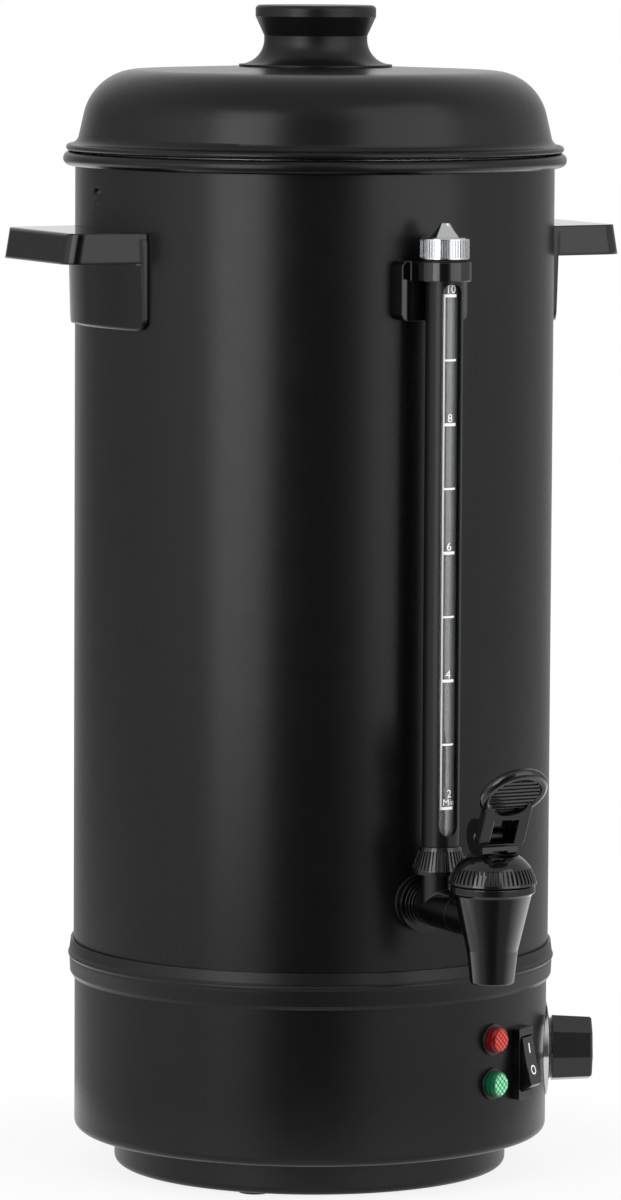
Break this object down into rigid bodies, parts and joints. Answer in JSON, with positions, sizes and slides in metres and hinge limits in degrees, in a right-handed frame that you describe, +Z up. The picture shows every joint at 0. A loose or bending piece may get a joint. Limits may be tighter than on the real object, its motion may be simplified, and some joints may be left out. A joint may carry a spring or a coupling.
{
  "type": "hot water dispenser",
  "caption": "Tall round hot water urn with lift-off domed lid, side handles, sight gauge on a spring-closed lever tap, and a heated base with lamps, rocker switch and thermostat knob.",
  "frame": {"origin": "on the table under the vertical axis of the tank, in the plane of the rubber pads", "axes": "+Z up along the tank's axis, the tap towards -Y, the handles along X"},
  "size_m": [0.277, 0.3177, 0.5246],
  "materials": {
    "coated_steel": "satin",
    "satin_plastic": "satin",
    "gloss_plastic": "gloss",
    "chrome": "polished",
    "stainless_steel": "brushed",
    "black_rubber": "matte",
    "silicone": "matte",
    "natural_plastic": "matte",
    "clear_tube": "clear",
    "red_lens": "clear",
    "green_lens": "clear",
    "phenolic": "matte",
    "copper": "polished",
    "cast_aluminium": "cast",
    "wire_sleeve": "matte"
  },
  "bodies": {
    "urn": {"tank": "coated_steel", "tank_floor": "stainless_steel", "weld_studs": "stainless_steel", "joint_band": "satin_plastic", "base_shell": "coated_steel", "foot_pan": "satin_plastic", "foot_pads": "black_rubber", "tie_nuts": "stainless_steel", "handle_left": "gloss_plastic", "handle_right": "gloss_plastic", "handle_screws": "stainless_steel", "gauge_bracket": "gloss_plastic", "bracket_screws": "stainless_steel", "gauge_shield": "coated_steel", "sight_tube": "clear_tube", "gauge_cap": "chrome", "gauge_cap_seal": "black_rubber", "gauge_nut": "gloss_plastic", "gauge_seal": "silicone", "tap_shank": "gloss_plastic", "shank_washers": "black_rubber", "shank_nut": "natural_plastic", "tap_body": "gloss_plastic", "bonnet_seal": "black_rubber", "tap_bonnet": "gloss_plastic", "tap_spring": "stainless_steel", "lamp_holders": "satin_plastic", "red_lens": "red_lens", "green_lens": "green_lens", "switch_frame": "gloss_plastic", "switch_pin": "stainless_steel", "thermostat_rosette": "chrome", "thermostat_nut": "stainless_steel", "thermostat_body": "phenolic", "thermostat_bulb": "copper", "heating_plate": "cast_aluminium", "heater_clamp": "stainless_steel", "clamp_nut": "stainless_steel", "thermal_cutout": "phenolic", "terminal_block": "phenolic", "power_inlet": "satin_plastic", "inlet_pins": "stainless_steel", "wiring": "wire_sleeve"},
    "lid": {"lid_dome": "coated_steel", "lid_lock_ring": "stainless_steel", "lid_knob": "satin_plastic", "lid_knob_washer": "stainless_steel", "lid_knob_screw": "stainless_steel"},
    "stem": {"tap_stem": "stainless_steel", "tap_seat_cup": "silicone", "lever_pin": "stainless_steel"},
    "lever": {"tap_lever": "gloss_plastic"},
    "rocker": {"switch_rocker": "gloss_plastic"},
    "dial": {"thermostat_knob": "gloss_plastic", "thermostat_shaft": "stainless_steel"}
  },
  "joints": [
    {"name": "lid_lift", "type": "slide", "parent": "urn", "child": "lid", "axis": [0, 0, 1], "range_m": [0, 0.25]},
    {"name": "stem_lift", "type": "slide", "parent": "urn", "child": "stem", "axis": [0, 0, 1], "range_m": [0, 0.00127], "deforming": ["tap_spring"]},
    {"name": "lever_pull", "type": "hinge", "parent": "stem", "child": "lever", "pos_m": [0, -0.1751, 0.1717], "axis": [1, 0, 0], "range_deg": [0, 32], "stiffness_Nm_per_rad": 0.08, "springref_deg": -28.65},
    {"name": "switch_rock", "type": "hinge", "parent": "urn", "child": "rocker", "pos_m": [0.06089, -0.08859, 0.0554], "axis": [0.8241, 0.5664, 0], "range_deg": [0, 26]},
    {"name": "thermostat_turn", "type": "hinge", "parent": "urn", "child": "dial", "pos_m": [0.10151, -0.04733, 0.0528], "axis": [0.9063, -0.4226, 0], "range_deg": [-150, 140]}
  ],
  "couplings": [
    {"joint": "lever_pull", "follows": "stem_lift", "rad_per_m": 439.14}
  ]
}
